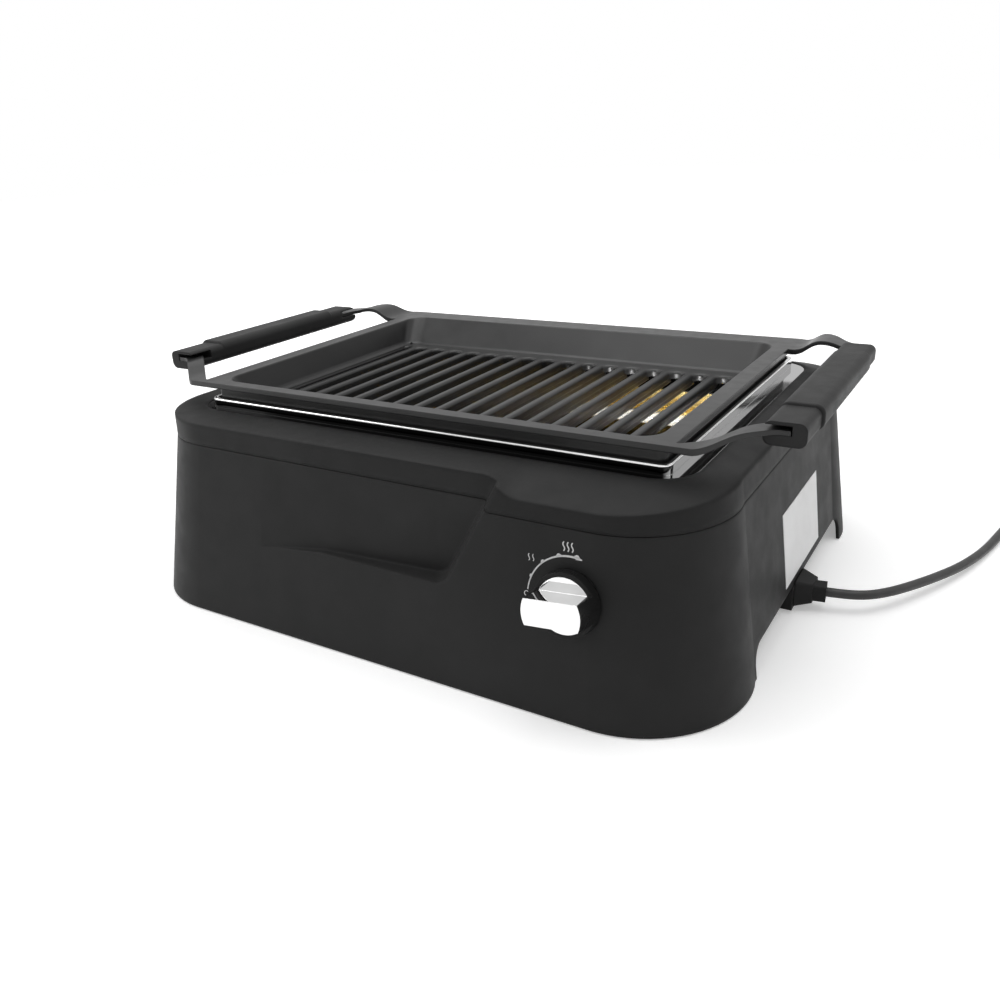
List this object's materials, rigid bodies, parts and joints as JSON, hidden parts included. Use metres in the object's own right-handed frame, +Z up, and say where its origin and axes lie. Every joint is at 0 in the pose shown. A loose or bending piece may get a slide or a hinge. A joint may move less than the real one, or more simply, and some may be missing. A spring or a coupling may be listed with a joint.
{
  "type": "smokeless indoor grill",
  "caption": "Countertop infrared grill: tapered plastic housing with a dial, steel surround, lift-off slotted grill plate with two side grips, drip tray and mains lead.",
  "frame": {"origin": "on the surface it stands on, in the middle of the footprint box of everything but the mains lead", "axes": "+Z up, -Y towards the dial, +X to the right seen from the dial, along the handles' line"},
  "size_m": [0.7325, 0.5655, 0.1746],
  "materials": {
    "housing": "fine-grained charcoal plastic",
    "cover": "satin charcoal plastic",
    "base": "black plastic",
    "steel": "mirror-polished stainless steel",
    "galvanised": "satin sheet steel",
    "grill": "dark non-stick coating on cast aluminium",
    "grip": "grey heat-proof plastic",
    "screw": "plain steel",
    "knob": "black plastic",
    "chrome": "chrome-plated",
    "gold": "gold-coloured polished reflector",
    "quartz": "clear quartz",
    "carbon": "carbon ribbon",
    "ceramic": "white ceramic",
    "tray": "grey coated aluminium",
    "rubber": "black rubber",
    "label": "blank pale plate",
    "cord": "black lead sheath",
    "wire": "heat-proof wire sleeve",
    "pin": "plated brass"
  },
  "bodies": {
    "base": {"lower_housing": "housing", "top_cover": "cover", "steel_surround": "steel", "base_plate": "base", "rubber_feet": "rubber", "base_screws": "screw", "rating_plate": "label", "thermostat_body": "ceramic", "thermostat_nut": "screw", "heating_chamber": "galvanised", "chamber_screws": "screw", "rear_reflector": "gold", "front_reflector": "gold", "rear_lamp": "quartz", "front_lamp": "quartz", "lamp_ribbons": "carbon", "lamp_caps": "ceramic", "lamp_brackets": "galvanised", "strain_relief": "rubber", "terminal_block": "ceramic", "terminal_screws": "screw", "inner_lead": "cord", "dial_wires": "wire", "lamp_wires": "wire", "thermal_fuse": "ceramic", "cord_lead": "cord", "cord_coil": "cord", "mains_plug": "cord", "plug_pins": "pin"},
    "knob": {"knob_body": "knob", "knob_trim": "chrome", "thermostat_shaft": "screw"},
    "tray": {"drip_tray": "tray"},
    "plate": {"grill_plate": "grill", "right_grip": "grip", "left_grip": "grip", "grip_screws": "screw"}
  },
  "joints": [
    {"name": "dial_turn", "type": "hinge", "parent": "base", "child": "knob", "pos_m": [0.1495, -0.18604, 0.0774], "axis": [0, 0.9902, -0.1395], "range_deg": [0, 97]},
    {"name": "tray_lift", "type": "slide", "parent": "base", "child": "tray", "axis": [0, 0, 1], "range_m": [0, 0.15]},
    {"name": "plate_lift", "type": "slide", "parent": "tray", "child": "plate", "axis": [0, 0, 1], "range_m": [0, 0.15]}
  ]
}
